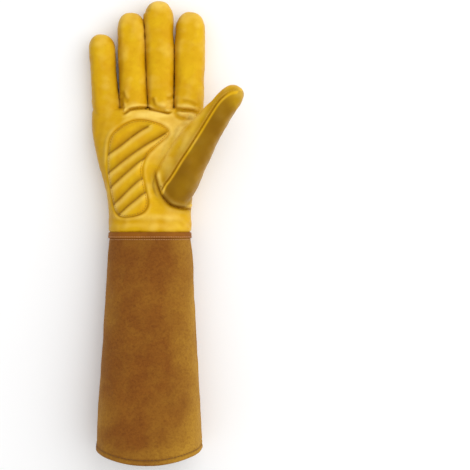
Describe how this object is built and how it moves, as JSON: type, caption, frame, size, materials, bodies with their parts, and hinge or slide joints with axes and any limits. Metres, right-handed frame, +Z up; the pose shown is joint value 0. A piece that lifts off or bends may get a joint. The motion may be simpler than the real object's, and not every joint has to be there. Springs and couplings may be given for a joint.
{
  "type": "rose pruning gauntlet",
  "caption": "Right-hand leather gardening glove with a quilted palm patch and a long flaring suede cuff, lying on its back with the palm up.",
  "frame": {"origin": "middle of the glove's footprint, on the surface that it lies on", "axes": "+Y along the hand towards the fingertips, +Z up out of the palm, +X to the thumb's side"},
  "size_m": [0.152, 0.4462, 0.078],
  "materials": {
    "grain_leather": "satin, soft grain",
    "cuff_suede": "suede, matt and mottled",
    "binding_leather": "matt, dark brown"
  },
  "bodies": {
    "root": {"palm_panel": "grain_leather", "ring_finger_front": "grain_leather", "middle_finger_front": "grain_leather", "back_panel": "grain_leather", "fourchette_little_ring": "grain_leather", "fourchette_ring_middle": "grain_leather", "fourchette_middle_index": "grain_leather", "thumb_panel": "grain_leather", "palm_pad": "grain_leather", "wrist_binding": "binding_leather", "cuff_panel": "cuff_suede"}
  },
  "joints": []
}
